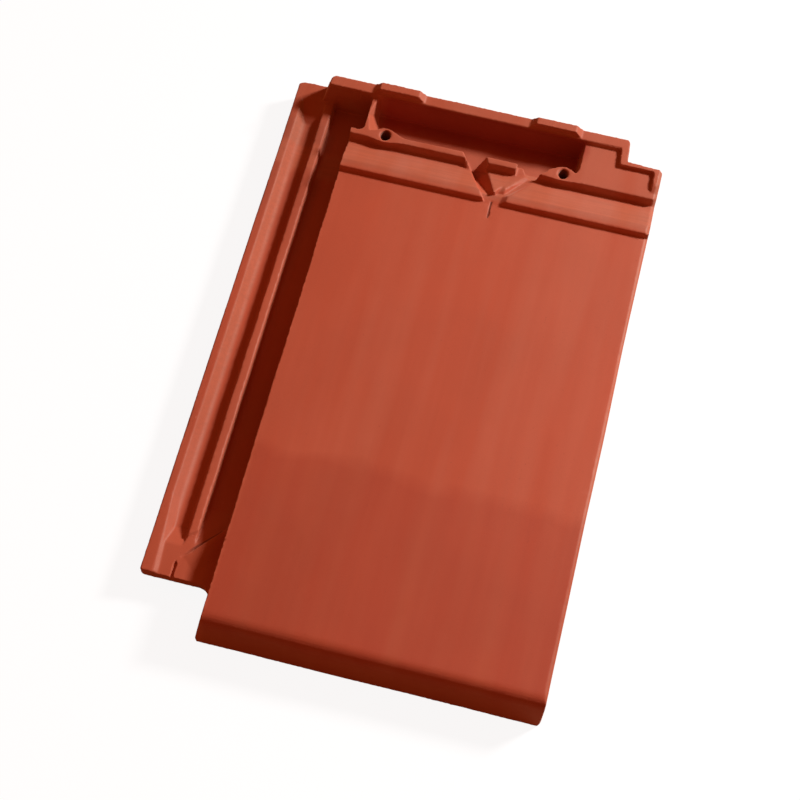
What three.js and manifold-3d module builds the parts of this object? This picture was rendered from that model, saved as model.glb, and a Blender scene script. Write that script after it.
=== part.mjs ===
// Flat interlocking clay roof tile, pressed and fired in one piece. Millimetres, +Z up.
//
// The tile lies weather face up. X runs across it, from the side lock on the left to the cover lip on
// the right, and Y runs up the roof slope, from the nose to the head. It rests on the foot of the nose
// and on its two batten lugs. Plan sizes are worked in a corner frame, whose origin is the left end of
// the nose line on the floor, and the finished solid is then centred.

import * as THREE from 'three';
import { mergeVertices } from 'three/addons/utils/BufferGeometryUtils.js';
import { ConvexGeometry } from 'three/addons/geometries/ConvexGeometry.js';
import Module from 'manifold-3d';

const wasm = await Module();
wasm.setup();

// ---------------------------------------------------------------- driving dimensions

// Overall size and main levels
const tileWidth = 288;
const tileLength = 447;
const panelTop = 33;
const shellThickness = 11.5;
const coverWidth = 240;           // what one tile covers across the roof

// Nose
const noseDraft = 9.5;            // degrees that the nose face leans back
const noseBendRadius = 9.5;
const noseFootDepth = 11;
const noseInnerRun = 6;           // how far the inside of the nose leans
const noseSideRun = 2;            // the left side of the nose stands out this far at its foot
const noseCornerRadius = 5;

// Side lock on the left: outer rib, groove, thin rib and water channel
const lockWidth = 49.5;
const lockBase = 4.5;
const lockFrontSetback = 34;      // the lock starts this far behind the nose
const outerRibTop = 20;
const outerRibWidth = 6;
const outerRibSlope = 5.8;
const grooveFloor = 12.6;
const grooveWidth = 12.7;
const thinRibTop = 19.6;
const thinRibWidth = 6.4;
const ribDraft = 0.6;
const channelFloor = 10;
const keelBase = 2;               // underside of the channel
const keelDraft = 3;
const overlapLength = 57;         // the lock is cut thin below for this far, to ride over the tile below
const overlapBase = 8.5;
const bodyWallLean = 2.6;         // the body wall beside the channel leans back this far
const bodyWallThickness = 14;

// Head ribs. Setbacks are measured down the tile from the head, and rises up from the panel
const beadSetback = 77;           // lower edge of the water bead
const beadEdgeRise = 4.5;
const beadWidth = 6.4;            // from that edge to the crest
const beadCrestRise = 5;
const stepDraft = 1.4;
const slopeFootRise = -2;         // the slope behind the crest falls to here
const stopRibSetback = 47.5;
const stopRibRise = 5.5;
const stopRibWidth = 5;
const stopRibDraft = 1.6;

// Head rim and its lugs
const rimRise = 9;
const rimWidth = 8.9;
const headDraft = 2.5;
const rimInnerDraft = 1;
const rimLeft = 27.5;
const rimLeftCut = 3;             // the back of its left end is cut off this far
const rimLeftLean = 6;
const rimLugRise = 5.1;
const rimLugWidth = 30.4;
const rimLugSlope = 5.8;
const rimLugSetback = 2;
const rimLugLefts = [66.3, 188];

// Trough behind the stop rib
const troughFloor = 17.5;
const troughFrontRun = 5;         // the back of the stop rib leans this far
const troughEndRun = 3;
const troughRight = 227;
const troughCorner = 3;
const troughRightCorner = 8;
const headBase = 7.5;

// Stepped corner at the right of the head, with its border
const cornerStepX = 260.9;
const cornerStepSetback = 22;
const cornerStepSlant = 1.2;      // the step's edge falls this much towards the right
const cornerStepLean = 1.4;
const rimCornerRadius = 7;
const stepBorderWidth = 3.5;
const endBorderWidth = 6;
const endBorderRampSetback = 37;  // the border at the right end runs down from here
const endBorderFootSetback = 42.5;

// T rib between the trough and the side channel
const stemLeft = 61.6;
const stemWidth = 4.2;
const stemFacetRun = 7.5;         // of the facet on its right side, at the stop rib
const stemFacetBackRun = 1;

// Nail bosses
const nailHoleWidth = 7;
const nailHoleLength = 8.4;
const nailSinkRadius = 5.2;
const nailSinkDepth = 0.8;
const nailBossRadius = 6.4;
const nailBossReach = 17;         // the boss runs out into the stop rib this far to each side
const bossSteps = 14;
const nailPlaces = [{ x: 79.1, setback: 43.2 }, { x: 216.1, setback: 42.4 }];

// V shaped drain: two gullies that leave the trough through gaps in the stop rib and meet at a mouth
// in the bead, with an island between them. A splay is the run across for each millimetre up the tile.
const drainMouthSetback = 79.5;
const drainMouthLeft = 163.9;
const drainMouthFlare = 1.2;      // run of its right wall for each millimetre of rise
const drainMouthWidth = 10.3;
const leftGullySplay = 0.631;
const leftGullyLean = 0.3;        // run of its outer wall for each millimetre of rise
const leftGullyFloorSetback = 46; // its floor is level with the trough down to here, then ramps up
const gullyTipRise = 1.2;
const islandTipX = 168.8;
const islandTipSetback = 70;
const islandSplay = 0.418;
const rightGullySplay = 0.696;
const rightGullyOffset = 3.75;    // from the right edge of the drain to the valley
const rightGullyDepth = 0.7;      // at the gap
const rightGullyWidth = 9;
const rightGapSetback = 50;
const rightGapLeft = 190.7;
const rightGapWidth = 4.6;
const rightGapSplay = 0.92;
const rightGapLeftSplay = 0.5;
const rightGapLean = 0.12;        // run of its right wall for each millimetre of rise
const gullyBedHalf = 0.4;         // half the flat bed of the right gully
const rightGullyEndRun = 2;       // how far the right gully runs into its gap
const islandTipWidth = 1.5;
const islandToeRun = 2;
const islandToeReach = 2.5;
const islandBackLean = 2;
const slopeFootMargin = 3;        // the left gully meets the island this far in front of the slope's foot
const leftMouthLean = 2;
const armToe = 2.6;
const armRoot = 3;
const armLeft = 181.3;            // the stop rib ends here, and the low arm starts
const armCrest = [{ x: 188.2, setback: 47.5 }, { x: 176.7, setback: 65.5 }];
const armEdge = [{ x: 180.7, setback: 45 }, { x: 175.4, setback: 63.2 }];
const armRise = 1.2;              // of the upper end of its crest over the slope
const finWidth = 1.5;             // of the end of the stop rib beside the left gully
const finFootWidth = 3.6;
const finRun = 4;
const scoreWidth = 1.5;
const scoreDepth = 0.7;
const scoreStartSetback = 76.5;
const scoreEndSetback = 91;

// Lower end of the side lock: a pad, with a slanting bar that turns the water to a drain slit
const padLevel = 18;
const padRampStart = 60;
const padRampEnd = 92;
const grooveRampStart = 58;
const grooveRampEnd = 72;
const ribShoulderStart = 92;      // towards the front the outer rib grows wider from here
const ribShoulderWidth = 3.6;
const ribShoulderRun = 3.5;
const thinRibEndLeft = 66.4;
const thinRibEndRight = 71.4;
const thinRibEndRun = 1.8;
const barTop = 20.6;
const barTopX = 37.5;             // its top is level from here to the wall
const barWallY = 76;              // where the edge of the bar meets the body wall
const barTipX = 26.3;
const barTipY = 50.2;
const barWidth = 14;
const barFaceRun = 1.5;
const barCrestWidth = 3;
const slitX = 22.2;
const creaseWidth = 1.6;
const creaseDepth = 0.8;
const creaseGap = 0.3;            // between the crease and the foot of the bar
const creaseRise = 0.2;           // the crease's cutter stands this far above the pad
const slitWidth = 2.4;
const slitDepth = 2.2;
const slitEnd = 47.6;
const slitPointRun = 4;           // its upper end narrows to a point over this length

// Upper end of the side lock: the groove runs out onto a flat
const grooveRunoutSetback = 33;
const grooveFlatSetback = 14;

// Edges
const edgeRadius = 3;
const headEdgeChamfer = 2.4;
const arrisRadius = 1.2;
const plateRadius = 4;
const notchRadius = 8;

// Underside: cover lip, cross ribs, long ribs and batten lugs
const lipDepth = 18;
const lipWidth = 9;
const lipRibDepth = 16;
const lipRibWidth = 7;
const lockClearance = 2;
const crossRibWidth = 8;
const crossRibDepth = 15;
const crossRibPlaces = [30, 56];
const longRibWidth = 8;
const longRibDepth = 4.5;
const longRibCount = 3;
const ribDraftBelow = 1;
const coverRecessTop = 25.5;
const coverRecessLead = 20;       // the recess starts this far in front of the stop rib
const battenLugSetback = 38;      // the batten's upper edge, just behind the nail holes
const battenLugThickness = 15;
const battenLugWidth = 42;
const battenLugDraft = 2;

// Joined pieces and cutters run this far past the faces that they meet.
const overrun = 1;

const clayColour = 0xb8573b;

// ---------------------------------------------------------------- derived sizes

const fromHead = (setback) => tileLength - setback;

const shellUnderside = panelTop - shellThickness;
const panelLeft = lockWidth + bodyWallLean;
const innerLeft = lockWidth + bodyWallThickness;
const wallAt = (z) => lockWidth - noseSideRun + ((noseSideRun + bodyWallLean) * z) / (panelTop - arrisRadius);
const grooveLeft = outerRibWidth + outerRibSlope;
const thinRibLeft = grooveLeft + grooveWidth;
const thinRibRight = thinRibLeft + thinRibWidth;
const beadEdge = panelTop + beadEdgeRise;
const beadCrest = panelTop + beadCrestRise;
const headStart = fromHead(beadSetback);
const beadCrestY = headStart + beadWidth;
const slopeFoot = panelTop + slopeFootRise;
const stopRibFront = fromHead(stopRibSetback);
const slopeFootY = stopRibFront - stopRibDraft;
const stopRibTop = panelTop + stopRibRise;
const stopRibBack = stopRibFront + stopRibWidth;
const rimTop = panelTop + rimRise;
const rimOuter = tileLength - headDraft;
const rimInner = rimOuter - rimWidth;
const rimFoot = rimInner - rimInnerDraft;
const cornerStepY = fromHead(cornerStepSetback);
const borderFootY = fromHead(endBorderFootSetback);
const borderRampY = fromHead(endBorderRampSetback);
const noseRun = panelTop * Math.tan((noseDraft * Math.PI) / 180);
const skyward = rimTop + 20;      // above everything, for cutters
const floorward = -5;             // below everything, for cutters

// ---------------------------------------------------------------- helpers

const arcSteps = 6;

// A closed outline from corners [a, b, radius]; a corner with a radius is rounded by an arc.
function outline(corners) {
  const shape = new THREE.Shape();
  const count = corners.length;
  const points = [];
  for (let i = 0; i < count; i += 1) {
    const [a, b, radius = 0] = corners[i];
    const here = new THREE.Vector2(a, b);
    const before = new THREE.Vector2(...corners[(i + count - 1) % count]).sub(here);
    const after = new THREE.Vector2(...corners[(i + 1) % count]).sub(here);
    if (radius === 0) {
      points.push(here);
      continue;
    }
    const halfAngle = Math.acos(before.clone().normalize().dot(after.clone().normalize())) / 2;
    const reach = Math.min(radius / Math.tan(halfAngle), before.length() / 2.02, after.length() / 2.02);
    const start = here.clone().add(before.setLength(reach));
    const end = here.clone().add(after.setLength(reach));
    const trueRadius = reach * Math.tan(halfAngle);
    const middle = start.clone().add(end).multiplyScalar(0.5).sub(here);
    const centre = here.clone().add(middle.setLength(trueRadius / Math.sin(halfAngle)));
    const from = start.clone().sub(centre).angle();
    let turn = end.clone().sub(centre).angle() - from;
    turn -= Math.round(turn / (2 * Math.PI)) * 2 * Math.PI;
    for (let k = 0; k <= arcSteps; k += 1) {
      const angle = from + (turn * k) / arcSteps;
      points.push(new THREE.Vector2(Math.cos(angle), Math.sin(angle)).multiplyScalar(trueRadius).add(centre));
    }
  }
  shape.setFromPoints(points);
  return shape;
}

function toSolid(geometry) {
  geometry.deleteAttribute('normal');
  geometry.deleteAttribute('uv');
  const merged = mergeVertices(geometry, 1e-4);
  return new wasm.Manifold(new wasm.Mesh({
    numProp: 3,
    vertProperties: merged.attributes.position.array,
    triVerts: new Uint32Array(merged.index.array),
  }));
}

function extrude(shape, length) {
  return new THREE.ExtrudeGeometry(shape, { depth: length, bevelEnabled: false, curveSegments: arcSteps });
}

const axisX = new THREE.Vector3(1, 0, 0);
const axisY = new THREE.Vector3(0, 1, 0);
const axisZ = new THREE.Vector3(0, 0, 1);

// A side profile in (y, z), swept across the tile.
function sweptAcross(corners, fromX, toX) {
  const place = new THREE.Matrix4().makeBasis(axisY, axisZ, axisX).setPosition(fromX, 0, 0);
  return toSolid(extrude(outline(corners), toX - fromX).applyMatrix4(place));
}

// A cross-section in (x, z), swept up the tile.
function sweptUp(corners, fromY, toY) {
  const place = new THREE.Matrix4().makeBasis(axisX, axisZ, axisY.clone().negate()).setPosition(0, toY, 0);
  return toSolid(extrude(outline(corners), toY - fromY).applyMatrix4(place));
}

// A plan outline in (x, y), raised between two levels.
function raised(corners, fromZ, toZ) {
  return toSolid(extrude(outline(corners), toZ - fromZ).translate(0, 0, fromZ));
}

// The convex block that spans a list of points.
function hullOf(points) {
  return toSolid(new ConvexGeometry(points.map((point) => new THREE.Vector3(...point))));
}

const join = (solids) => solids.reduce((whole, piece) => whole.add(piece));

// ---------------------------------------------------------------- body and nose

// Shell with its nose: the long profile between the side lock and the right edge.
function makeShell() {
  const profile = [
    [0, 0],
    [noseFootDepth, 0, 1.5],
    [noseFootDepth + noseInnerRun, shellUnderside, 5],
    [stopRibFront - noseInnerRun - shellThickness / 2, shellUnderside, 4],
    [stopRibFront, headBase, 4],
    [tileLength, headBase],
    [tileLength, lockBase + shellThickness],
    [rimOuter, rimTop, 1],
    [rimInner, rimTop, 0.8],
    [rimFoot, stopRibTop],
    [stopRibFront, stopRibTop, 1],
    [slopeFootY, slopeFoot, 1],
    [beadCrestY, beadCrest, 2],
    [headStart, beadEdge, 1],
    [headStart - stepDraft, panelTop, 0.6],
    [noseRun, panelTop, noseBendRadius],
  ];
  const section = [
    [wallAt(0), floorward],
    [tileWidth, floorward],
    [tileWidth, skyward],
    [panelLeft, skyward],
    [panelLeft, panelTop - arrisRadius],
    [wallAt(0), 0],
  ];
  return sweptAcross(profile, wallAt(0) - 1, tileWidth).intersect(sweptUp(section, -1, tileLength + overrun));
}

// What is cut away to round the long top edge of the panel on the right.
function makePanelEdgeCutter() {
  const corners = [[tileWidth - edgeRadius, panelTop + 1]];
  for (let k = 0; k <= arcSteps; k += 1) {
    const angle = (Math.PI / 2) * (k / arcSteps);
    corners.push([
      tileWidth - edgeRadius * (1 - Math.sin(angle)),
      panelTop - edgeRadius * (1 - Math.cos(angle)),
    ]);
  }
  corners.push([tileWidth + 1, panelTop - edgeRadius], [tileWidth + 1, panelTop + 1]);
  return sweptUp(corners.reverse(), -1, headStart - stepDraft / 2);
}

// The same edge along the head, where it follows the ribs up and down as a chamfer.
function makeHeadEdgeCutter() {
  const path = [
    [headStart - stepDraft, panelTop],
    [headStart, beadEdge],
    [beadCrestY, beadCrest],
    [slopeFootY, slopeFoot],
    [stopRibFront, stopRibTop],
    [borderFootY, stopRibTop],
    [borderRampY, rimTop],
    [tileLength, rimTop],
  ];
  const cuts = [];
  for (let i = 1; i < path.length; i += 1) {
    const ends = [path[i - 1], path[i]];
    cuts.push(hullOf(ends.flatMap(([y, z]) => [
      [tileWidth - headEdgeChamfer, y, z],
      [tileWidth + 1, y + headEdgeChamfer + 1, z - headEdgeChamfer - 1],
      [tileWidth - headEdgeChamfer, y, skyward],
      [tileWidth + 1, y + headEdgeChamfer + 1, skyward],
    ])));
  }
  return join(cuts);
}

// ---------------------------------------------------------------- side lock

function makeSideLock() {
  const front = lockFrontSetback - notchRadius;
  const section = [
    [0, lockBase, 1],
    [innerLeft, lockBase],
    [innerLeft, channelFloor],
    [lockWidth, channelFloor],
    [thinRibRight + ribDraft, channelFloor, 2],
    [thinRibRight, thinRibTop, 0.7],
    [thinRibLeft, thinRibTop, 0.8],
    [thinRibLeft - ribDraft, grooveFloor, 3],
    [grooveLeft, grooveFloor, 6],
    [outerRibWidth, outerRibTop, 2],
    [0, outerRibTop, 1],
  ];
  const keel = [
    [thinRibLeft - keelDraft, lockBase + overrun],
    [thinRibLeft, keelBase],
    [innerLeft - keelDraft, keelBase],
    [innerLeft, lockBase + overrun],
  ];
  const runout = [
    [fromHead(grooveRunoutSetback), lockBase + overrun],
    [tileLength, lockBase + overrun],
    [tileLength, outerRibTop],
    [fromHead(grooveFlatSetback), outerRibTop, 4],
    [fromHead(grooveRunoutSetback), grooveFloor, 4],
  ];
  return join([
    sweptUp(section, front, tileLength),
    sweptUp(keel, front, tileLength),
    sweptAcross(runout, outerRibWidth, thinRibLeft + overrun),
  ]);
}

// The lock is thinner below where it rides over the head of the tile below.
function makeOverlapCutter() {
  const end = lockFrontSetback + overlapLength;
  return sweptAcross([
    [lockFrontSetback - notchRadius - overrun, floorward],
    [end + overlapBase - floorward, floorward],
    [end, overlapBase, 2],
    [lockFrontSetback - notchRadius - overrun, overlapBase],
  ], -overrun, lockWidth).add(sweptAcross([
    [lockFrontSetback, floorward],
    [end + overlapBase - floorward, floorward],
    [end, overlapBase, 2],
    [lockFrontSetback, overlapBase],
  ], lockWidth - overrun, innerLeft + overrun));
}

// At the lower end the outer rib grows wider on its inner side.
function makeRibShoulder() {
  const front = lockFrontSetback - notchRadius;
  const shoulder = outerRibWidth + ribShoulderWidth;
  return hullOf([
    [outerRibWidth - overrun, ribShoulderStart, outerRibTop], [outerRibWidth, ribShoulderStart, outerRibTop],
    [grooveLeft, ribShoulderStart, grooveFloor],
    [outerRibWidth - overrun, ribShoulderStart, grooveFloor - overrun],
    [outerRibWidth - overrun, front, outerRibTop], [shoulder, front, outerRibTop],
    [shoulder + ribShoulderRun, front, padLevel], [shoulder + ribShoulderRun, front, grooveFloor - overrun],
    [outerRibWidth - overrun, front, grooveFloor - overrun],
  ]);
}

// The thin rib stops at a slant.
function makeRibEndCutter() {
  const front = lockFrontSetback - notchRadius - overrun;
  const slant = (thinRibEndRight - thinRibEndLeft) / thinRibWidth;
  const lean = (z) => ((z - padLevel) * thinRibEndRun) / (thinRibTop - padLevel) - thinRibEndRun;
  const points = [];
  for (const x of [thinRibLeft - 2, thinRibRight + 2]) {
    for (const z of [padLevel, thinRibTop + 2]) {
      points.push([x, front, z], [x, thinRibEndLeft + slant * (x - thinRibLeft) + lean(z), z]);
    }
  }
  return hullOf(points);
}

// The pad that the groove and the channel run out onto.
function makeLockPad() {
  const front = lockFrontSetback - notchRadius;
  const channelEnd = sweptAcross([
    [front, overlapBase],
    [padRampEnd, overlapBase],
    [padRampEnd, channelFloor],
    [padRampStart, padLevel, 6],
    [front, padLevel],
  ], thinRibLeft - overrun, innerLeft);
  const grooveEnd = sweptAcross([
    [front, overlapBase],
    [grooveRampEnd, overlapBase],
    [grooveRampEnd, grooveFloor],
    [grooveRampStart, padLevel, 6],
    [front, padLevel],
  ], (outerRibWidth + grooveLeft) / 2, thinRibLeft + overrun);
  return channelEnd.add(grooveEnd);
}

// A point on the pad, by its reach along the upper edge of the water bar and its offset below that edge.
function barPoint(reach, offset, z) {
  const along = new THREE.Vector2(lockWidth - barTipX, barWallY - barTipY).normalize();
  return [
    barTipX + along.x * reach + along.y * offset,
    barTipY + along.y * reach - along.x * offset,
    z,
  ];
}

// The slanting bar on the pad, which turns the water of the channel towards the drain slit.
function makeWaterBar() {
  const perX = Math.hypot(lockWidth - barTipX, barWallY - barTipY) / (lockWidth - barTipX);
  const shoulder = (barTopX - barTipX) * perX;
  const end = (innerLeft - barTipX) * perX;
  return hullOf([
    barPoint(0, 0, padLevel), barPoint(0, barWidth, padLevel),
    barPoint(shoulder, 0, barTop), barPoint(shoulder, barCrestWidth, barTop),
    barPoint(end, 0, barTop), barPoint(end, barCrestWidth, barTop),
    barPoint(end, -barFaceRun, padLevel), barPoint(end, barWidth, padLevel),
    barPoint(0, 0, padLevel - overrun), barPoint(0, barWidth, padLevel - overrun),
    barPoint(end, -barFaceRun, padLevel - overrun), barPoint(end, barWidth, padLevel - overrun),
  ]).intersect(raised([
    [0, 0], [innerLeft, 0], [innerLeft, padRampEnd], [0, padRampEnd],
  ], lockBase, skyward));
}

// The scored line at the foot of the bar's upper face.
function makeCrease() {
  const reach = lockWidth - barTipX;
  return hullOf([-creaseWidth, reach].flatMap((along) => [
    barPoint(along, -creaseWidth / 2 - creaseGap, padLevel - creaseDepth),
    barPoint(along, -creaseWidth - creaseGap, padLevel + creaseRise),
    barPoint(along, 0, padLevel + creaseRise),
  ]));
}

function makeSlit() {
  const left = slitX - slitWidth / 2;
  const right = slitX + slitWidth / 2;
  return raised([
    [left, lockFrontSetback - overrun], [right, lockFrontSetback - overrun],
    [right, slitEnd - slitPointRun], [slitX, slitEnd], [left, slitEnd - slitPointRun],
  ], padLevel - slitDepth, skyward);
}

// ---------------------------------------------------------------- head

function makeRimLeftEnd() {
  const profile = [
    [rimFoot - rimInnerDraft * 2, lockBase],
    [tileLength, lockBase],
    [tileLength, lockBase + shellThickness],
    [rimOuter, rimTop, 1],
    [rimInner, rimTop, 0.8],
  ];
  const section = [
    [rimLeft - rimLeftLean, lockBase],
    [innerLeft + stemWidth, lockBase],
    [innerLeft + stemWidth, skyward],
    [rimLeft, skyward],
    [rimLeft, rimTop, 1.5],
    [rimLeft - rimLeftLean, outerRibTop - 2],
  ];
  const corner = hullOf([
    [rimLeft - overrun, rimOuter - rimLeftCut - overrun, rimTop + overrun],
    [rimLeft + rimLeftCut + overrun, rimOuter + overrun, rimTop + overrun],
    [rimLeft - rimLeftLean, tileLength + overrun, rimTop + overrun],
    [rimLeft - rimLeftLean, tileLength, outerRibTop],
  ]);
  const swept = sweptAcross(profile, 0, innerLeft + stemWidth);
  const end = swept.intersect(sweptUp(section, stopRibBack, tileLength));
  return end.subtract(corner);
}

function makeRimLug(left) {
  const right = left + rimLugWidth;
  const inner = rimInner + rimLugSetback;
  const foot = rimTop - overrun;
  const top = rimTop + rimLugRise;
  return hullOf([
    [left - rimLugSlope, rimInner + 0.5, foot], [right + rimLugSlope, rimInner + 0.5, foot],
    [right + rimLugSlope, rimOuter, foot], [left - rimLugSlope, rimOuter, foot],
    [left, inner, top], [right, inner, top], [right, rimOuter - 0.5, top], [left, rimOuter - 0.5, top],
  ]);
}

// The border that carries the rim round the stepped corner and runs down along the right end.
function makeCornerBorder() {
  const left = cornerStepX - endBorderWidth;
  const right = tileWidth - endBorderWidth;
  const inner = cornerStepY - stepBorderWidth;
  const plan = raised([
    [left + cornerStepLean / 2, inner, 1],
    [right, inner, 2],
    [right + 0.5, borderFootY],
    [tileWidth, borderFootY],
    [tileWidth, cornerStepY + overrun],
    [cornerStepX + overrun, cornerStepY + overrun],
    [cornerStepX + overrun, rimInner + overrun],
    [left - cornerStepLean / 2, rimInner + overrun],
  ], headBase + overrun, skyward);
  const ramp = sweptAcross([
    [borderFootY - overrun, headBase],
    [tileLength, headBase],
    [tileLength, rimTop],
    [borderRampY, rimTop, 4],
    [borderFootY, stopRibTop],
    [borderFootY - overrun, stopRibTop],
  ], left - 1, tileWidth);
  return plan.intersect(ramp);
}

// The trough behind the stop rib. Each of its walls leans over its own run.
function makeTroughCutter() {
  const left = stemLeft + stemWidth;
  const spread = (skyward - troughFloor) / (stopRibTop - troughFloor);
  const ring = (z, grow) => outline([
    [left + stemFacetRun * (1 - grow), stopRibBack + troughFrontRun * (1 - grow), troughCorner],
    [troughRight - troughEndRun * (1 - grow), stopRibBack + troughFrontRun * (1 - grow), troughRightCorner],
    [troughRight - troughEndRun * (1 - grow), rimFoot - rimInnerDraft * (1 - grow), 1],
    [left + stemFacetBackRun * (1 - grow), rimFoot - rimInnerDraft * (1 - grow), 1],
  ]).getPoints().map((point) => [point.x, point.y, z]);
  return hullOf([...ring(troughFloor, 0), ...ring(skyward, spread)]);
}

// The side channel turns the corner behind the stop rib and ends at the T rib.
function makeCornerWellCutter() {
  return raised([
    [thinRibRight + ribDraft, stopRibBack, 1],
    [stemLeft, stopRibBack, 4],
    [stemLeft, rimFoot, 2],
    [thinRibRight + ribDraft, rimFoot, 1],
  ], channelFloor, skyward);
}

// ---------------------------------------------------------------- nail bosses

// The stop rib swells out on both sides round a nail hole.
function makeNailBoss({ x, setback }) {
  const y = fromHead(setback);
  const swell = (distance) => (1 + Math.cos((Math.PI * distance) / nailBossReach)) / 2;
  const front = [];
  const back = [];
  for (let k = 0; k <= bossSteps; k += 1) {
    const distance = nailBossReach * ((2 * k) / bossSteps - 1);
    front.push([x + distance, stopRibFront - (stopRibFront - y + nailBossRadius) * swell(distance)]);
    back.push([x + distance, stopRibBack + (y + nailBossRadius - stopRibBack) * swell(distance)]);
  }
  return raised([...front, ...back.reverse()], headBase + overrun, stopRibTop);
}

// The hole through the boss, with a shallow sink round its mouth.
function makeNailHole({ x, setback }) {
  const y = fromHead(setback);
  const hole = new THREE.Shape();
  hole.absellipse(x, y, nailHoleWidth / 2, nailHoleLength / 2, 0, 2 * Math.PI);
  const shaft = new THREE.ExtrudeGeometry(hole, {
    depth: skyward - floorward, bevelEnabled: false, curveSegments: 16,
  });
  const sink = new THREE.CylinderGeometry(nailSinkRadius, nailHoleWidth / 2, nailSinkDepth, 32);
  sink.rotateX(Math.PI / 2).translate(x, y, stopRibTop - nailSinkDepth / 2 + 0.01);
  return toSolid(shaft.translate(0, 0, floorward)).add(toSolid(sink));
}

// ---------------------------------------------------------------- V drain

const mouthY = fromHead(drainMouthSetback);
const islandTipY = fromHead(islandTipSetback);
const gullyLeft = (y) => drainMouthLeft - leftGullySplay * (y - mouthY);
const drainRight = (y) => drainMouthLeft + drainMouthWidth + rightGullySplay * (y - mouthY);
const islandLeft = (y) => islandTipX - islandSplay * (y - islandTipY);

// The level of the sloping face between the bead and the stop rib.
function slopeLevel(y) {
  const part = (y - beadCrestY) / (slopeFootY - beadCrestY);
  return beadCrest + (slopeFoot - beadCrest) * Math.min(Math.max(part, 0), 1);
}

// The left gully: a gap level with the trough that narrows to a point, then a ramp up to the mouth.
function makeLeftGullyCutter() {
  const back = stopRibBack + troughFrontRun;
  const level = fromHead(leftGullyFloorSetback);
  const tip = islandTipY - 1;
  const tipLevel = panelTop + gullyTipRise;
  const wall = (y, z) => [gullyLeft(y) - leftGullyLean * (z - panelTop - gullyTipRise), y, z];
  const corner = islandLeft(stopRibBack);
  const edgeY = slopeFootY - slopeFootMargin;
  const gap = hullOf([
    wall(back, troughFloor), wall(back, skyward),
    wall(level, troughFloor), wall(level, skyward),
    [corner - islandBackLean, back, troughFloor], [corner, stopRibBack, skyward],
    [corner, stopRibBack, stopRibTop], [corner - islandBackLean, back, skyward],
  ]);
  const ramp = hullOf([
    wall(level, troughFloor), wall(level, skyward),
    wall(tip, tipLevel), wall(tip, skyward),
    [corner, stopRibBack, stopRibTop], [corner, stopRibBack, skyward],
    [islandLeft(edgeY), edgeY, slopeLevel(edgeY)],
    [islandTipX, islandTipY, slopeLevel(islandTipY)], [islandTipX, islandTipY, skyward],
    [islandTipX - islandToeRun, islandTipY - islandToeReach, tipLevel],
  ]);
  return gap.add(ramp);
}

// The right gully is a shallow valley behind its arm, fed by a ramp through the stop rib.
function makeRightGullyCutter() {
  const back = stopRibBack + troughFrontRun;
  const front = fromHead(rightGapSetback);
  const gapLevel = slopeLevel(front) - rightGullyDepth / 2;
  const right = rightGapLeft + rightGapWidth;
  const lean = rightGapLean * (skyward - gapLevel);
  const backLeft = rightGapLeft - rightGapLeftSplay * (back - front);
  const backRight = right + rightGapSplay * (back - front);
  const gap = hullOf([
    [rightGapLeft, front, gapLevel], [rightGapLeft, front, skyward],
    [right, front, gapLevel], [right + lean, front, skyward],
    [backLeft, back, troughFloor], [backLeft, back, skyward],
    [backRight, back, troughFloor], [backRight, back, skyward],
  ]);
  const tip = islandTipY - 1;
  const tipLevel = panelTop + gullyTipRise;
  const tipDepth = slopeLevel(tip) - tipLevel;
  const top = front + rightGullyEndRun;
  const topFloor = slopeLevel(top) - rightGullyDepth;
  const valley = drainRight(top) - rightGullyOffset;
  const tipValley = drainRight(tip) - rightGullyOffset;
  return gap.add(hullOf([
    [valley - gullyBedHalf, top, topFloor], [valley + gullyBedHalf, top, topFloor],
    [valley - rightGullyWidth, top, topFloor + 2 * rightGullyDepth],
    [valley + 2 * rightGullyOffset, top, topFloor + 2 * rightGullyDepth],
    [islandTipX + islandTipWidth, tip, tipLevel], [islandTipX, tip, tipLevel + 2 * tipDepth],
    [tipValley, tip, tipLevel], [tipValley + 3 * rightGullyOffset, tip, tipLevel + 2 * tipDepth],
  ]));
}

// Right of its end at the arm the stop rib is taken down to the foot of the slope.
function makeArmSeatCutter() {
  const front = slopeFootY - overrun / 2;
  const back = stopRibBack + troughFrontRun;
  return raised([
    [armLeft, front], [rightGapLeft + overrun, front], [rightGapLeft + overrun, back], [armLeft, back],
  ], slopeFoot, skyward);
}

// The mouth of the drain through the bead, a ramp down onto the panel.
function makeMouthCutter() {
  const tip = islandTipY - 1;
  const tipLevel = panelTop + gullyTipRise;
  const mouthRight = drainMouthLeft + drainMouthWidth;
  const valley = drainRight(tip) - rightGullyOffset;
  return hullOf([
    [drainMouthLeft, mouthY, panelTop], [drainMouthLeft - overrun, mouthY, skyward],
    [mouthRight, mouthY, panelTop],
    [mouthRight + drainMouthFlare * (skyward - panelTop), mouthY, skyward],
    [gullyLeft(tip), tip, tipLevel], [gullyLeft(tip) - leftMouthLean, tip, skyward],
    [islandTipX - islandToeRun, tip, tipLevel],
    [valley, tip, tipLevel], [valley + drainMouthFlare * (skyward - tipLevel), tip, skyward],
  ]);
}

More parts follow.
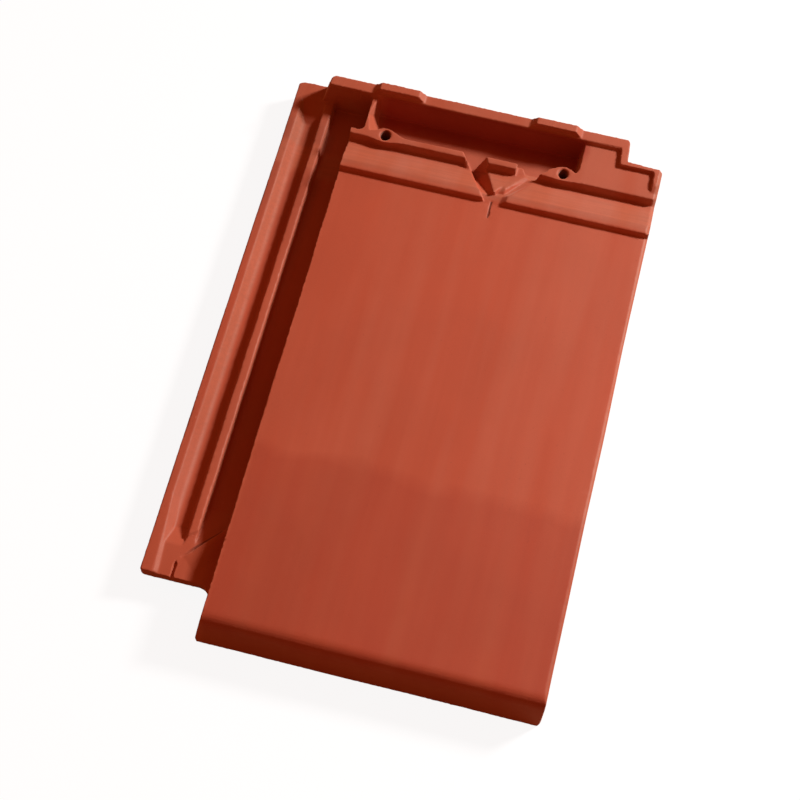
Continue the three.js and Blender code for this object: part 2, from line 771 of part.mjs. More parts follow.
// The low arm between the island and the right gully, with a facet on each side of its crest.
function makeDrainArm() {
  const fall = (slopeFoot - beadCrest) / (slopeFootY - beadCrestY);
  const slopePlane = (y) => beadCrest + fall * (y - beadCrestY);
  const at = ({ x, setback }, rise) => [x, fromHead(setback), slopePlane(fromHead(setback)) + rise];
  const valleyTop = fromHead(rightGapSetback) + rightGullyEndRun;
  const valleyTip = islandTipY + 1;
  return hullOf([
    at(armCrest[0], armRise), at(armCrest[1], 0),
    at(armEdge[0], 0), at(armEdge[1], 0),
    [drainRight(valleyTop) - rightGullyOffset, valleyTop, slopeFoot - rightGullyDepth],
    [drainRight(valleyTip) - rightGullyOffset - 1, valleyTip, panelTop + gullyTipRise],
    [armEdge[0].x, fromHead(armEdge[0].setback), slopeFoot - armRoot],
    [armEdge[1].x + 1, fromHead(armEdge[1].setback) + 1, slopeFoot - armRoot],
    [islandTipX + armToe, valleyTip, panelTop + gullyTipRise],
  ]);
}

// The end of the stop rib on the left of the drain runs down to the slope as a low fin.
function makeDrainFin() {
  const top = stopRibFront + finWidth;
  const foot = slopeFootY - finRun;
  const points = [];
  for (const [y, z, width] of [[top, stopRibTop, finWidth], [foot, slopeLevel(foot) + 0.1, finFootWidth]]) {
    const edge = gullyLeft(y) - leftGullyLean * (z - panelTop - gullyTipRise);
    points.push([edge - width, y, z], [edge, y, z]);
    points.push([edge - width, y, slopeFoot - overrun], [edge + overrun, y, slopeFoot - overrun]);
  }
  return hullOf(points);
}

function makeScore() {
  const x = drainMouthLeft + drainMouthWidth / 2;
  const points = [];
  for (const setback of [scoreStartSetback, scoreEndSetback]) {
    const y = fromHead(setback);
    points.push([x, y, panelTop - scoreDepth], [x - scoreWidth, y, panelTop + scoreDepth]);
    points.push([x + scoreWidth, y, panelTop + scoreDepth]);
  }
  return hullOf(points);
}

// ---------------------------------------------------------------- underside

// The lip that covers the neighbour's channel, and the rib that hangs into its groove.
function makeCoverLip() {
  const lipFoot = panelTop - lipDepth;
  const ribFoot = panelTop - lipRibDepth;
  const ribMiddle = coverWidth + (grooveLeft + thinRibLeft) / 2;
  const half = lipRibWidth / 2;
  const lip = sweptUp([
    [tileWidth - lipWidth, shellUnderside + overrun],
    [tileWidth - lipWidth + ribDraftBelow, lipFoot, 1.5],
    [tileWidth, lipFoot, 1.5],
    [tileWidth, shellUnderside + overrun],
  ], noseFootDepth / 2, cornerStepY - stepBorderWidth);
  const rib = sweptUp([
    [ribMiddle - half, coverRecessTop + 1],
    [ribMiddle - half + ribDraftBelow, ribFoot, 1.5],
    [ribMiddle + half - ribDraftBelow, ribFoot, 1.5],
    [ribMiddle + half, coverRecessTop + 1],
  ], padRampEnd, fromHead(grooveRunoutSetback) - lockClearance);
  return lip.add(rib);
}

function makeUnderside() {
  const pieces = [];
  // Wall that carries the body down to the side lock
  pieces.push(sweptUp([
    [wallAt(keelBase), keelBase, 1],
    [innerLeft - 3, keelBase, 1],
    [innerLeft, shellUnderside + overrun],
    [wallAt(shellUnderside + overrun), shellUnderside + overrun],
  ], noseFootDepth / 2, rimOuter));
  // Cross ribs that close the joint over the tile below
  for (const place of crossRibPlaces) {
    const foot = shellUnderside - crossRibDepth;
    pieces.push(sweptAcross([
      [place, shellUnderside + overrun],
      [place + ribDraftBelow, foot, 1.5],
      [place + crossRibWidth - ribDraftBelow, foot, 1.5],
      [place + crossRibWidth, shellUnderside + overrun],
    ], innerLeft - 3, coverWidth - lockClearance));
  }
  // Long stiffening ribs
  const span = coverWidth - innerLeft;
  for (let i = 1; i <= longRibCount; i += 1) {
    const x = innerLeft + (span * i) / (longRibCount + 1);
    const half = longRibWidth / 2;
    const foot = shellUnderside - longRibDepth;
    pieces.push(sweptUp([
      [x - half, shellUnderside + overrun],
      [x - half + ribDraftBelow, foot, 1.5],
      [x + half - ribDraftBelow, foot, 1.5],
      [x + half, shellUnderside + overrun],
    ], crossRibPlaces[1], stopRibFront - 2));
  }
  // Batten lugs, one below each nail hole
  const face = fromHead(battenLugSetback);
  const back = face + battenLugThickness;
  for (const { x } of nailPlaces) {
    const left = x - battenLugWidth / 2;
    const right = x + battenLugWidth / 2;
    pieces.push(hullOf([
      [left, face, headBase + overrun], [right, face, headBase + overrun],
      [left, back, headBase + overrun], [right, back, headBase + overrun],
      [left + battenLugDraft, face, 0], [right - battenLugDraft, face, 0],
      [left + battenLugDraft, back - battenLugDraft, 0], [right - battenLugDraft, back - battenLugDraft, 0],
    ]));
  }
  return join(pieces);
}

// The head is hollowed under its right end, where it covers the neighbour's lock.
function makeCoverRecess() {
  const left = coverWidth - lockClearance;
  const right = tileWidth - lipWidth;
  const front = stopRibFront - coverRecessLead;
  return raised([
    [left, front, 3], [right, front, 3], [right, tileLength + overrun], [left, tileLength + overrun],
  ], floorward, coverRecessTop);
}

// ---------------------------------------------------------------- whole tile

function makePlanOutline() {
  const noseLeft = wallAt(0) - 0.2;
  const notchX = wallAt(padLevel);
  return raised([
    [noseLeft, -1, noseCornerRadius],
    [tileWidth, -1, noseCornerRadius],
    [tileWidth, cornerStepY - cornerStepSlant, 2.5],
    [cornerStepX, cornerStepY, 1],
    [cornerStepX - cornerStepLean, tileLength, rimCornerRadius],
    [0, tileLength, plateRadius],
    [0, lockFrontSetback, 1.5],
    [notchX, lockFrontSetback, notchRadius],
    [notchX, lockFrontSetback - 2.1 * notchRadius],
    [noseLeft, lockFrontSetback - 3 * notchRadius],
  ], floorward, skyward);
}

function makeTile() {
  const lock = makeSideLock().subtract(makeRibEndCutter());
  let tile = join([makeShell(), lock, makeRibShoulder(), makeLockPad(), makeWaterBar()]);
  tile = join([tile, makeRimLeftEnd(), makeCornerBorder(), makeUnderside()]);
  tile = tile.subtract(makeOverlapCutter());
  tile = tile.subtract(makeCornerWellCutter()).subtract(makeTroughCutter());
  tile = join([tile, ...nailPlaces.map(makeNailBoss), ...rimLugLefts.map(makeRimLug), makeDrainFin()]);
  tile = tile.subtract(makeLeftGullyCutter()).subtract(makeArmSeatCutter());
  tile = tile.subtract(makeRightGullyCutter()).subtract(makeMouthCutter());
  tile = tile.add(makeDrainArm());
  tile = tile.subtract(makeScore()).subtract(makeSlit()).subtract(makeCrease());
  tile = tile.subtract(makeCoverRecess()).add(makeCoverLip());
  for (const place of nailPlaces) {
    tile = tile.subtract(makeNailHole(place));
  }
  tile = tile.subtract(makePanelEdgeCutter()).subtract(makeHeadEdgeCutter());
  return tile.intersect(makePlanOutline());
}

function toMesh(solid, name, material) {
  const mesh = solid.getMesh();
  const geometry = new THREE.BufferGeometry();
  geometry.setAttribute('position', new THREE.BufferAttribute(new Float32Array(mesh.vertProperties), 3));
  geometry.setIndex(new THREE.BufferAttribute(new Uint32Array(mesh.triVerts), 1));
  const result = new THREE.Mesh(geometry, material);
  result.name = name;
  return result;
}

const clay = new THREE.MeshStandardMaterial({ color: clayColour, roughness: 0.72, metalness: 0 });
const roofTile = toMesh(makeTile(), 'roof_tile', clay);
roofTile.position.set(-tileWidth / 2, -tileLength / 2, 0);

const group = new THREE.Group();
group.add(roofTile);

export default group;
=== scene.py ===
"""Flat interlocking clay roof tile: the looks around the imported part. Metres, in the part's own frame."""

import math

import bpy
import numpy as np
from mathutils import Matrix, Vector
from mathutils.kdtree import KDTree


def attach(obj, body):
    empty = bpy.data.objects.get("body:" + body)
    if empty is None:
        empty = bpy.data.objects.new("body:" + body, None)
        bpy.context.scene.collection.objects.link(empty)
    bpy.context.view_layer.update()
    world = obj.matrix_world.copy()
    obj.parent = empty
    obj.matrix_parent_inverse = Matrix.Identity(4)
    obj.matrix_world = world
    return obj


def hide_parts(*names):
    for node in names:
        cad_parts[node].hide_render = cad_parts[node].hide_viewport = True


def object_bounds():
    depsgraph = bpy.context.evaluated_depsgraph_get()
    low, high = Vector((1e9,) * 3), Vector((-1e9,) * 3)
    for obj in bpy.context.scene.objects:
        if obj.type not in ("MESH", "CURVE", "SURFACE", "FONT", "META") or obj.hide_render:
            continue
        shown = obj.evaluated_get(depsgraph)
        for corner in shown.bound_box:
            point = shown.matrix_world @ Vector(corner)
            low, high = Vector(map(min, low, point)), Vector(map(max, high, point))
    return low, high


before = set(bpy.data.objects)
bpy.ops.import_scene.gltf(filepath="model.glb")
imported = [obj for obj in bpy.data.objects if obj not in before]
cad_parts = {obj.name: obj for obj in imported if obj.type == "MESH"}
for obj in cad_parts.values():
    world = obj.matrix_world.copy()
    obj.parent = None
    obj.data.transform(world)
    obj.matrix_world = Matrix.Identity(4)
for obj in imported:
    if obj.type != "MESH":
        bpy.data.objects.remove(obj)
cad_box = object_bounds()

# ---------------------------------------------------------------- view
SENSOR = 36.0
LENS = 78.21
NEAREST_SEEN = 0.05
VIEW_TARGET = Vector((-0.0016, -0.0281, 0.033))
VIEW_DISTANCE = 1.225
VIEW_AZIMUTH = 11.19
VIEW_ELEVATION = 65.22
VIEW_ROLL = 3.078

# ---------------------------------------------------------------- light
WHITE = (1.0, 1.0, 1.0)
KEY_PLACE = Vector((1.31, 1.0, 1.16))
KEY_TARGET = Vector((0.0, -2.0, 0.0))   # aimed past the nose, so the light is even along the tile
KEY_SIZE = 0.37
KEY_POWER = 62.5
FILL_LEVEL = 0.30
FILL_COLOUR = (1.0, 0.31, 0.09)
FLOOR_BOUNCE = (0.35, 0.20, 0.13)       # the floor as the tile is lit by it
FLOOR_SHADOW = (0.12, 0.12, 0.12)       # the part of the floor's white that a shadow can take away
FLOOR_GLOW = 0.91                       # and the part that it can't
FLOOR_REACH = 6.0
FLOOR_LEVEL = -0.0002                   # just under the tile, so that the two share no plane

# ---------------------------------------------------------------- shape
VOXEL = 0.0006            # of the remesh that softens the moulded edges
SOFTEN_STEPS = 4
SOFTEN_FACTOR = 0.5
TRIANGLE_LIMIT = 190000

EDGE_TAKEN = 0.00022      # what the softening takes off a full edge
EDGE_SHARE = 0.15         # of EDGE_TAKEN, from which a point counts as rounded, at an edge or in a hollow
EDGE_REACH = 0.0009       # how far from a rounded point its lighter edge or painted hollow shade still shows

# Uneven fields: strength, lengths of the waves, and the seed of their directions
WARP = 0.00022            # slow warp of the fired clay
WARP_WAVES = (0.19, 0.11)
WARP_SEED = 3
RIPPLE = 0.000012         # fine unevenness of the pressed faces
RIPPLE_WAVES = (0.021, 0.013, 0.009)
RIPPLE_SEED = 5
RAGGED = 0.0005           # small chips along the edges
RAGGED_WAVES = (0.0075, 0.0046, 0.0028)
RAGGED_SEED = 7
RAGGED_INWARD = 0.4       # how far the edges lean towards losing clay
WAVES_EACH = 5            # of every length
WAVES_REACH = 2.2         # what so many waves mostly stay within when added up

NAIL_HOLES = ((-0.0649, 0.1803), (0.0721, 0.1811))
NAIL_SQUEEZE = 0.83       # the holes are a little longer than wide
NAIL_RADIUS = 0.0040
NAIL_MOUTH = 0.0372

SCORE_X = 0.02505         # the scored line through the mouth of the drain
SCORE_ENDS = (0.1315, 0.1475)
SCORE_DEPTH = 0.0006
SCORE_HALF = 0.0009
SCORE_TAPER = 0.003       # at both ends
SCORE_SWAY = 0.0004
SCORE_TURNS = 520         # of the sway, in radians a metre
SCORE_LOWEST = 0.03       # the line is only on the upper side

# ---------------------------------------------------------------- clay
# Colours in linear light
ORANGE_CLAY = (0.464, 0.060, 0.0170)
PINK_CLAY = (0.484, 0.0830, 0.0340)
# Lighter edges: wear, and partly a painted highlight
EDGE_WEAR_AND_HIGHLIGHT_CLAY = (0.56, 0.135, 0.068)
# Painted shade in hollows
HOLLOW_SHADE_CLAY = (0.36, 0.034, 0.009)
# Painted shade in the nail holes, along the scored line and along the crease
PAINTED_SHADE_CLAY = (0.15, 0.014, 0.003)
IRON_SPECK = (0.30, 0.030, 0.010)

# How much of the clay they cover where they are full
EDGE_COVER = 0.3
HOLLOW_COVER = 0.45
DARK_COVER = 0.85
SPECK_COVER = 0.3

# Tints of places, which the colour is multiplied by: a darker nose, painted shade and painted sheen
NOSE_SHADE = (0.885, 0.71, 0.57)
LOCK_PAINTED_SHADE = (0.84, 0.85, 0.90)     # painted shade of the side lock towards the head, where its faces lean away from the light
# A paler, pinker painted sheen over the head
HEAD_PAINTED_SHEEN = (0.92, 1.06, 1.20)
PAINTED_SHEEN_TINT = (0.96, 1.38, 1.84)     # painted sheen of the slope below the head, and of the outer faces that lean to the right, towards the light
TROUGH_PAINTED_SHADE = (0.74, 0.21, 0.06)     # painted shade of the trough

# Borders: a mask is nothing at the first number and full at the second
NOSE_ALONG = (-0.079, -0.091)
NOSE_ACROSS = (-0.092, -0.089)
NOSE_WANDER = 0.03                  # the nose's border wavers by up to half of this
LOCK_ALONG = (0.04, 0.13)
LOCK_ACROSS = (-0.104, -0.108)
LOCK_END = (0.196, 0.186)
HEAD_ALONG = (0.170, 0.172)
# Where the painted sheen goes
SLOPE_FOOT = (0.147, 0.150)
SLOPE_TOP = (0.173, 0.168)
SLOPE_UPWARD = (0.88, 0.94)         # upward part of the normal
LEAN_UPWARD = (0.3, 0.6)
LEAN_RIGHTWARD = (0.12, 0.4)        # rightward part of the normal
LEAN_OUTWARD = (0.112, 0.118)       # to either side of the tile's middle
LEAN_ALONG = (-0.25, -0.02)         # on the left side only
# Where the trough's painted shade goes
TROUGH_LEFT = (-0.077, -0.070)
TROUGH_RIGHT = (0.087, 0.083)
TROUGH_FRONT = (0.195, 0.203)
TROUGH_BACK = (0.2140, 0.2125)
TROUGH_TOP = (0.0418, 0.0405)
EDGE_SPAN = (0.15, 1)
HOLLOW_SPAN = (0.2, 1)
DARK_SPAN = (0.2, 0.7)

# Painted shade in dark lines: along the scored line, and along a crease across the pad at the lower end of the
# side lock
LINE_CORE = 0.45                    # of the half width, up to which a line is full
LINE_TAPER = 0.002
SCORE_BASE = 0.029                  # a line is nothing below its base
CREASE_ENDS = ((-0.1202, -0.1743), (-0.0965, -0.1468))
CREASE_HALF = 0.0013
CREASE_BASE = 0.006
CREASE_TAPER = 0.012                # at its start
CREASE_STRENGTH = 0.6

# Noises: stretch along each axis, scale, detail, roughness and distortion
EVEN = (1, 1, 1)
STREAKS = ((1, 0.09, 1), 48, 2, 0.45, 0.0)
FINE_STREAKS = ((1, 0.05, 1), 210, 2, 0.6, 0.0)
WIPES = ((0.04, 1, 1), 420, 2, 0.6, 0.0)
BLOTCHES = (EVEN, 12, 3, 0.5, 0.4)
MOTTLE = (EVEN, 75, 2, 0.5, 0.0)
GRAIN = (EVEN, 1400, 3, 0.7, 0.0)
SPECKS = (EVEN, 420, 1, 0.5, 0.0)
WANDER = (EVEN, 22, 3, 0.5, 0.0)

# The values of a noise that are used, and the brightness or roughness that they stand for
NOISE_SPAN = (0.3, 0.7)
STREAK_SPAN = (0.36, 0.64)
GRAIN_SPAN = (0.25, 0.75)
SPECK_SPAN = (0.72, 0.82)
ROUGH_SPAN = (0.35, 0.65)
BLOTCH_BRIGHTNESS = (0.95, 1.04)
STREAK_BRIGHTNESS = (0.985, 1.012)
GRAIN_BRIGHTNESS = (0.94, 1.045)
WIPE_BRIGHTNESS = (0.92, 1.06)
STREAK_ROUGHNESS = (0.66, 0.56)
MOTTLE_ROUGHNESS = (-0.03, 0.03)

# Heights of the bumps
GRAIN_HEIGHT = 0.00006
STREAK_HEIGHT = 0.00002
MOTTLE_HEIGHT = 0.00003

# The same all over the clay
SURFACE = {
    "Diffuse Roughness": 0.35,
    "Specular IOR Level": 0.45,
    "Specular Tint": (1.0, 0.98, 0.85, 1),
    "Sheen Weight": 0.2,
    "Sheen Roughness": 0.6,
    "Sheen Tint": (1.0, 0.85, 0.65, 1),
}


# ---------------------------------------------------------------- camera, light and floor

def view_axes(azimuth, elevation, roll):
    """The view's right, up and forward directions, from angles in degrees."""
    a, e, r = (math.radians(x) for x in (azimuth, elevation, roll))
    forward = Vector((-math.sin(a) * math.cos(e), math.cos(a) * math.cos(e), -math.sin(e)))
    right = Vector((math.cos(a), math.sin(a), 0))
    up = right.cross(forward)
    return (
        math.cos(r) * right + math.sin(r) * up,
        math.cos(r) * up - math.sin(r) * right,
        forward,
    )


def make_camera():
    right, up, forward = view_axes(VIEW_AZIMUTH, VIEW_ELEVATION, VIEW_ROLL)
    data = bpy.data.cameras.new("view")
    data.lens = LENS
    data.sensor_width = SENSOR
    data.clip_start = NEAREST_SEEN
    camera = bpy.data.objects.new("view", data)
    turn = Matrix((right, up, -forward)).transposed()
    camera.matrix_world = Matrix.Translation(VIEW_TARGET - forward * VIEW_DISTANCE) @ turn.to_4x4()
    bpy.context.scene.collection.objects.link(camera)
    bpy.context.scene.camera = camera


def mix_shaders(tree, factor, first, second):
    node = tree.nodes.new("ShaderNodeMixShader")
    for socket, value in zip(node.inputs, (factor, first, second)):
        tree.links.new(value, socket)
    return node.outputs[0]


def make_light():
    data = bpy.data.lights.new("key", "AREA")
    data.shape = "DISK"
    data.size = KEY_SIZE
    data.energy = KEY_POWER
    data.color = WHITE
    lamp = bpy.data.objects.new("key", data)
    lamp.location = KEY_PLACE
    lamp.rotation_euler = (KEY_PLACE - KEY_TARGET).to_track_quat("Z", "Y").to_euler()
    bpy.context.scene.collection.objects.link(lamp)

    # The tile is lit by the fill, and the camera sees white behind it
    world = bpy.data.worlds.new("studio")
    bpy.context.scene.world = world
    world.use_nodes = True
    tree = world.node_tree
    tree.nodes.clear()
    out = tree.nodes.new("ShaderNodeOutputWorld")
    fill = tree.nodes.new("ShaderNodeBackground")
    fill.inputs["Color"].default_value = (*FILL_COLOUR, 1)
    fill.inputs["Strength"].default_value = FILL_LEVEL
    shown = tree.nodes.new("ShaderNodeBackground")
    shown.inputs["Color"].default_value = (*WHITE, 1)
    shown.inputs["Strength"].default_value = 1.0
    path = tree.nodes.new("ShaderNodeLightPath")
    whole = mix_shaders(tree, path.outputs["Is Camera Ray"], fill.outputs[0], shown.outputs[0])
    tree.links.new(whole, out.inputs["Surface"])


def make_floor():
    mesh = bpy.data.meshes.new("floor")
    corners = [(x * FLOOR_REACH, y * FLOOR_REACH, FLOOR_LEVEL) for x, y in ((-1, -1), (1, -1), (1, 1), (-1, 1))]
    mesh.from_pydata(corners, [], [(0, 1, 2, 3)])
    floor = bpy.data.objects.new("floor", mesh)
    bpy.context.scene.collection.objects.link(floor)
    material = bpy.data.materials.new("floor")
    material.use_nodes = True
    tree = material.node_tree
    tree.nodes.clear()
    out = tree.nodes.new("ShaderNodeOutputMaterial")
    path = tree.nodes.new("ShaderNodeLightPath")
    bounce = tree.nodes.new("ShaderNodeBsdfDiffuse")
    bounce.inputs["Color"].default_value = (*FLOOR_BOUNCE, 1)

    # The camera sees a glow near white, which the tile's shadow darkens a little
    soft = tree.nodes.new("ShaderNodeBsdfDiffuse")
    soft.inputs["Color"].default_value = (*FLOOR_SHADOW, 1)
    glow = tree.nodes.new("ShaderNodeEmission")
    glow.inputs["Strength"].default_value = FLOOR_GLOW
    shown = tree.nodes.new("ShaderNodeAddShader")
    tree.links.new(soft.outputs[0], shown.inputs[0])
    tree.links.new(glow.outputs[0], shown.inputs[1])
    upper = mix_shaders(tree, path.outputs["Is Camera Ray"], bounce.outputs[0], shown.outputs[0])

    # Seen from below, the floor lets the tile's underside show
    clear = tree.nodes.new("ShaderNodeBsdfTransparent")
    side = tree.nodes.new("ShaderNodeNewGeometry")
    below = tree.nodes.new("ShaderNodeMath")
    below.operation = "MULTIPLY"
    tree.links.new(side.outputs["Backfacing"], below.inputs[0])
    tree.links.new(path.outputs["Is Camera Ray"], below.inputs[1])
    whole = mix_shaders(tree, below.outputs[0], upper, clear.outputs[0])
    tree.links.new(whole, out.inputs["Surface"])
    mesh.materials.append(material)


# ---------------------------------------------------------------- the softened tile

def waves(points, lengths, seed):
    """A smooth field between about -1 and 1, from sine waves of the given lengths in random directions."""
    random = np.random.default_rng(seed)
    total = np.zeros(len(points))
    for length in lengths:
        for _ in range(WAVES_EACH):
            direction = random.normal(size=3)
            direction /= np.linalg.norm(direction)
            total += np.sin(points @ direction * (2 * math.pi / length) + random.uniform(0, 2 * math.pi))
    return total / (WAVES_REACH * math.sqrt(len(lengths)))


def apply_modifiers(piece):
    """Puts the mesh that the modifiers make in the place of the piece's own."""
    graph = bpy.context.evaluated_depsgraph_get()
    mesh = bpy.data.meshes.new_from_object(piece.evaluated_get(graph))
    old = piece.data
    piece.modifiers.clear()
    piece.data = mesh
    bpy.data.meshes.remove(old)


def points_of(mesh):
    flat = np.empty(len(mesh.vertices) * 3)
    mesh.vertices.foreach_get("co", flat)
    return flat.reshape(-1, 3)


def normals_of(mesh):
    flat = np.empty(len(mesh.vertices) * 3)
    mesh.vertex_normals.foreach_get("vector", flat)
    return flat.reshape(-1, 3)


def place_points(mesh, points):
    """Moves the mesh's points to the given places, held inside the solid's box."""
    low, high = (np.array(corner) for corner in cad_box)
    mesh.vertices.foreach_set("co", np.clip(points, low, high).ravel())
    mesh.update()


def store(mesh, name, values):
    attribute = mesh.attributes.new(name, "FLOAT", "POINT")
    attribute.data.foreach_set("value", values.astype(np.float32))


def step(values, border):
    """Nothing at the border's first number, one at its second."""
    start, end = border
    return np.clip((values - start) / (end - start), 0, 1)


def score(points):
    """One along the scored line and nothing beside it."""
    x, y, z = points.T
    start, end = SCORE_ENDS
    middle = SCORE_X + SCORE_SWAY * np.sin(y * SCORE_TURNS)
    across = np.clip(1 - np.abs(x - middle) / SCORE_HALF, 0, 1)
    along = np.clip(np.minimum(y - start, end - y) / SCORE_TAPER, 0, 1)
    return across * along * (z > SCORE_LOWEST)


def bores(points):
    """One inside the nail holes, where they get painted shade, and nothing outside them."""
    x, y, z = points.T
    inside = np.zeros(len(points))
    for hole_x, hole_y in NAIL_HOLES:
        near = np.hypot(x - hole_x, (y - hole_y) * NAIL_SQUEEZE) < NAIL_RADIUS
        inside = np.maximum(inside, near & (z < NAIL_MOUTH))
    return inside


def painted_sheen(points, normals):
    """One where the painted sheen goes: on the slope below the head and on the outer faces that lean to the
    right, towards the light, and nothing elsewhere.
    """
    x, y, _ = points.T
    rightward, _, upward = normals.T
    slope = step(y, SLOPE_FOOT) * step(y, SLOPE_TOP) * step(upward, SLOPE_UPWARD)
    lean = step(rightward, LEAN_RIGHTWARD) * step(upward, LEAN_UPWARD) * step(np.abs(x), LEAN_OUTWARD)
    lean *= np.where(x < 0, step(y, LEAN_ALONG), 1)
    return np.maximum(slope, lean)


def trough_shade(points):
    """One in the trough of the head, where it gets painted shade, and nothing elsewhere."""
    x, y, z = points.T
    across = step(x, TROUGH_LEFT) * step(x, TROUGH_RIGHT)
    along = step(y, TROUGH_FRONT) * step(y, TROUGH_BACK)
    return across * along * step(z, TROUGH_TOP)


def soften(piece):
    """Rounds the piece's edges, and returns how far that took each of its points inwards."""
    remesh = piece.modifiers.new("remesh", "REMESH")
    remesh.mode = "VOXEL"
    remesh.voxel_size = VOXEL
    apply_modifiers(piece)
    sharp = points_of(piece.data)
    smooth = piece.modifiers.new("soften", "SMOOTH")
    smooth.iterations = SOFTEN_STEPS
    smooth.factor = SOFTEN_FACTOR
    apply_modifiers(piece)
    return np.einsum("ij,ij->i", sharp - points_of(piece.data), normals_of(piece.data))


def weather(mesh, taken):
    """Warps the mesh, makes its edges a little ragged and carves the scored line. Returns its points."""
    points = points_of(mesh)
    edge = np.clip(taken / EDGE_TAKEN, 0, 1)
    lift = WARP * waves(points, WARP_WAVES, WARP_SEED) + RIPPLE * waves(points, RIPPLE_WAVES, RIPPLE_SEED)
    lift += RAGGED * edge * (waves(points, RAGGED_WAVES, RAGGED_SEED) - RAGGED_INWARD)
    points += normals_of(mesh) * (lift - WARP / 2 - SCORE_DEPTH * score(points))[:, None]
    place_points(mesh, points)
    return points


def make_tile(cad):
    piece = bpy.data.objects.new("clay_tile", cad.data.copy())
    bpy.context.scene.collection.objects.link(piece)
    taken = soften(piece)
    points = weather(piece.data, taken)

    rounded = KDTree(len(points))
    for number in np.flatnonzero(np.abs(taken) > EDGE_TAKEN * EDGE_SHARE):
        rounded.insert(points[number], int(number))
    rounded.balance()

    triangles = 2 * len(piece.data.polygons)   # the remesh makes quads
    if triangles > TRIANGLE_LIMIT:
        decimate = piece.modifiers.new("decimate", "DECIMATE")
        decimate.ratio = TRIANGLE_LIMIT / triangles
        apply_modifiers(piece)
        place_points(piece.data, points_of(piece.data))
    mesh = piece.data
    mesh.polygons.foreach_set("use_smooth", [True] * len(mesh.polygons))
    mesh.materials.clear()

    kept = points_of(mesh)
    rounding = np.zeros(len(kept))
    for number, point in enumerate(kept):
        _, nearest, distance = rounded.find(point)
        if distance < EDGE_REACH:
            rounding[number] = taken[nearest] / EDGE_TAKEN
    # Per point: lighter edges (wear, partly a painted highlight), painted shade of hollows and nail holes,
    # painted sheen and the trough's painted shade
    store(mesh, "edge", np.clip(rounding, 0, 1))
    store(mesh, "hollow_shade", np.clip(-rounding, 0, 1))
    store(mesh, "painted_shade", bores(kept))
    store(mesh, "painted_sheen", painted_sheen(kept, normals_of(mesh)))
    store(mesh, "trough_shade", trough_shade(kept))
    return piece


# ---------------------------------------------------------------- material

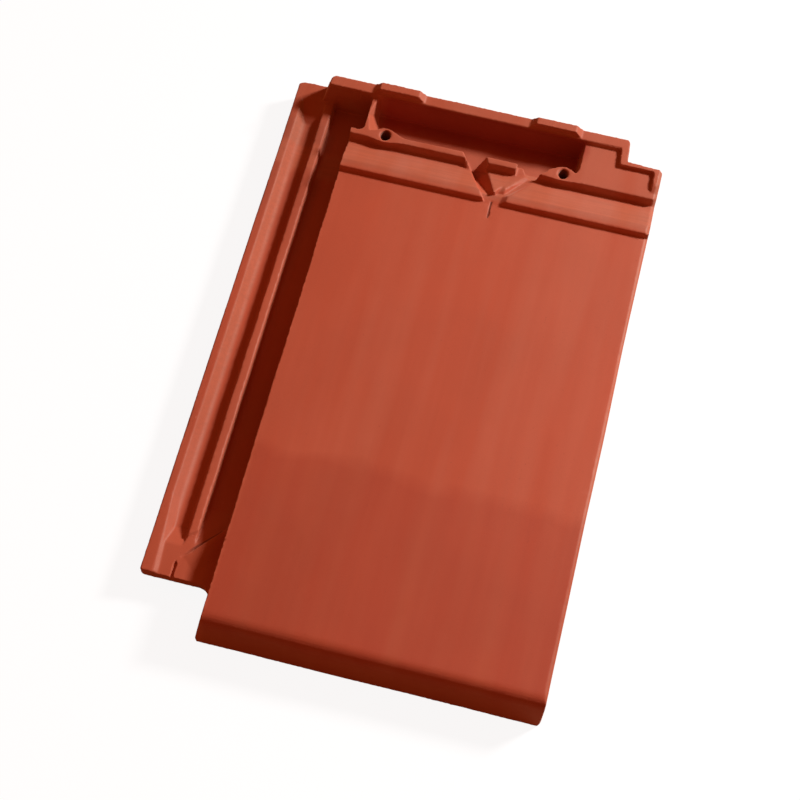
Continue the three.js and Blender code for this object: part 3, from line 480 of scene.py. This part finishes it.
def make_clay():
    material = bpy.data.materials.new("fired_clay")
    material.use_nodes = True
    nodes = material.node_tree.nodes
    links = material.node_tree.links
    bsdf = nodes["Principled BSDF"]
    place = nodes.new("ShaderNodeTexCoord").outputs["Object"]
    split = nodes.new("ShaderNodeSeparateXYZ")
    links.new(place, split.inputs[0])
    across, along, height = split.outputs

    def feed(sockets, values):
        """Gives each socket its value: a number, a colour or another node's output."""
        for socket, value in zip(sockets, values):
            if isinstance(value, tuple):
                socket.default_value = (*value, 1)
            elif isinstance(value, (int, float)):
                socket.default_value = value
            else:
                links.new(value, socket)

    def math_node(kind, a, b=0):
        node = nodes.new("ShaderNodeMath")
        node.operation = kind
        feed(node.inputs, (a, b))
        return node.outputs[0]

    def product(first, *others):
        for other in others:
            first = math_node("MULTIPLY", first, other)
        return first

    def shape(name):
        """What make_tile stored on the mesh."""
        node = nodes.new("ShaderNodeAttribute")
        node.attribute_name = name
        return node.outputs["Fac"]

    def stretched(scale):
        if scale == EVEN:
            return place
        node = nodes.new("ShaderNodeMapping")
        node.inputs["Scale"].default_value = scale
        links.new(place, node.inputs["Vector"])
        return node.outputs[0]

    def noise(stretch, *settings):
        node = nodes.new("ShaderNodeTexNoise")
        links.new(stretched(stretch), node.inputs["Vector"])
        names = ("Scale", "Detail", "Roughness", "Distortion")
        feed([node.inputs[name] for name in names], settings)
        return node.outputs["Fac"]

    def spread(value, span, result):
        """Carries the span of the value over to the result, and holds it there."""
        node = nodes.new("ShaderNodeMapRange")
        names = ("Value", "From Min", "From Max", "To Min", "To Max")
        feed([node.inputs[name] for name in names], (value, *span, *result))
        return node.outputs[0]

    def mask(value, border, full=1):
        """Nothing at the border's first number, full at its second."""
        return spread(value, border, (0, full))

    def blend(kind, colour, amount, other):
        node = nodes.new("ShaderNodeMix")
        node.data_type = "RGBA"
        node.blend_type = kind
        sockets = [socket for socket in node.inputs if socket.name in ("Factor", "A", "B") and socket.enabled]
        feed(sockets, (amount, colour, other))
        return next(socket for socket in node.outputs if socket.enabled)

    def line(ends, half, base, taper=LINE_TAPER):
        """One on the straight line between the ends, and nothing beside it or below its base."""
        (x, y), end = ends
        length = math.dist((x, y), end)
        cos, sin = (end[0] - x) / length, (end[1] - y) / length
        run = math_node("ADD", product(across, cos), product(along, sin))
        run = math_node("SUBTRACT", run, x * cos + y * sin)
        side = math_node("SUBTRACT", product(across, sin), product(along, cos))
        side = math_node("ABSOLUTE", math_node("SUBTRACT", side, x * sin - y * cos))
        return product(
            mask(side, (half, LINE_CORE * half)),
            mask(height, (base, base + LINE_TAPER)),
            mask(run, (0, taper)),
            mask(run, (length, length - LINE_TAPER)),
        )

    streaks, fine_streaks, mottle, grain = (noise(*kind) for kind in (STREAKS, FINE_STREAKS, MOTTLE, GRAIN))

    # Orange and pinkish streaks along the pressing, broad blotches and grain
    colour = blend("MIX", ORANGE_CLAY, mask(streaks, STREAK_SPAN), PINK_CLAY)
    colour = blend("MULTIPLY", colour, 1.0, spread(noise(*BLOTCHES), NOISE_SPAN, BLOTCH_BRIGHTNESS))
    colour = blend("MULTIPLY", colour, 1.0, spread(fine_streaks, NOISE_SPAN, STREAK_BRIGHTNESS))
    colour = blend("MULTIPLY", colour, 1.0, spread(grain, GRAIN_SPAN, GRAIN_BRIGHTNESS))

    # Towards the nose the panel is darker, and towards the head the side lock gets painted shade and the head a
    # paler, pinker painted sheen
    wander = product(math_node("SUBTRACT", noise(*WANDER), 0.5), NOSE_WANDER)
    nose = product(mask(math_node("ADD", along, wander), NOSE_ALONG), mask(across, NOSE_ACROSS))
    lock_shade = product(
        mask(along, LOCK_ALONG), mask(across, LOCK_ACROSS), mask(along, LOCK_END), mask(shape("painted_sheen"), (1, 0))
    )
    colour = blend("MULTIPLY", colour, nose, NOSE_SHADE)
    colour = blend("MULTIPLY", colour, lock_shade, LOCK_PAINTED_SHADE)
    colour = blend("MULTIPLY", colour, mask(along, HEAD_ALONG), HEAD_PAINTED_SHEEN)

    # The faces with the painted sheen are varied by wipes across the tile, and the trough gets painted shade
    colour = blend("MULTIPLY", colour, shape("painted_sheen"), PAINTED_SHEEN_TINT)
    colour = blend("MULTIPLY", colour, shape("painted_sheen"), spread(noise(*WIPES), NOISE_SPAN, WIPE_BRIGHTNESS))
    colour = blend("MULTIPLY", colour, shape("trough_shade"), TROUGH_PAINTED_SHADE)

    # Edges are lighter, with wear and partly a painted highlight; hollows get painted shade, and the scored
    # line, the crease and the nail holes get painted shade that stays dark
    score_ends = [(SCORE_X, y) for y in SCORE_ENDS]
    scored = line(score_ends, SCORE_HALF, SCORE_BASE)
    creased = product(line(CREASE_ENDS, CREASE_HALF, CREASE_BASE, CREASE_TAPER), CREASE_STRENGTH)
    painted_shade = math_node("MAXIMUM", math_node("MAXIMUM", scored, creased), shape("painted_shade"))
    colour = blend("MIX", colour, mask(shape("edge"), EDGE_SPAN, EDGE_COVER), EDGE_WEAR_AND_HIGHLIGHT_CLAY)
    colour = blend("MIX", colour, mask(shape("hollow_shade"), HOLLOW_SPAN, HOLLOW_COVER), HOLLOW_SHADE_CLAY)
    colour = blend("MIX", colour, mask(painted_shade, DARK_SPAN, DARK_COVER), PAINTED_SHADE_CLAY)
    colour = blend("MIX", colour, mask(noise(*SPECKS), SPECK_SPAN, SPECK_COVER), IRON_SPECK)
    links.new(colour, bsdf.inputs["Base Color"])

    roughness = math_node(
        "ADD", spread(streaks, ROUGH_SPAN, STREAK_ROUGHNESS), spread(mottle, NOISE_SPAN, MOTTLE_ROUGHNESS)
    )
    links.new(math_node("MAXIMUM", roughness, painted_shade), bsdf.inputs["Roughness"])
    for name, value in SURFACE.items():
        bsdf.inputs[name].default_value = value

    relief = math_node("ADD", product(grain, GRAIN_HEIGHT), product(fine_streaks, STREAK_HEIGHT))
    relief = math_node("ADD", relief, product(mottle, MOTTLE_HEIGHT))
    bump = nodes.new("ShaderNodeBump")
    bump.inputs["Strength"].default_value = 1.0
    bump.inputs["Distance"].default_value = 1.0
    links.new(relief, bump.inputs["Height"])
    links.new(bump.outputs["Normal"], bsdf.inputs["Normal"])
    return material


tile = make_tile(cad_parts["roof_tile"])
tile.data.materials.append(make_clay())
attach(tile, "root")
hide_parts("roof_tile")

make_camera()
make_light()
make_floor()

bpy.context.scene.view_settings.view_transform = "Standard"
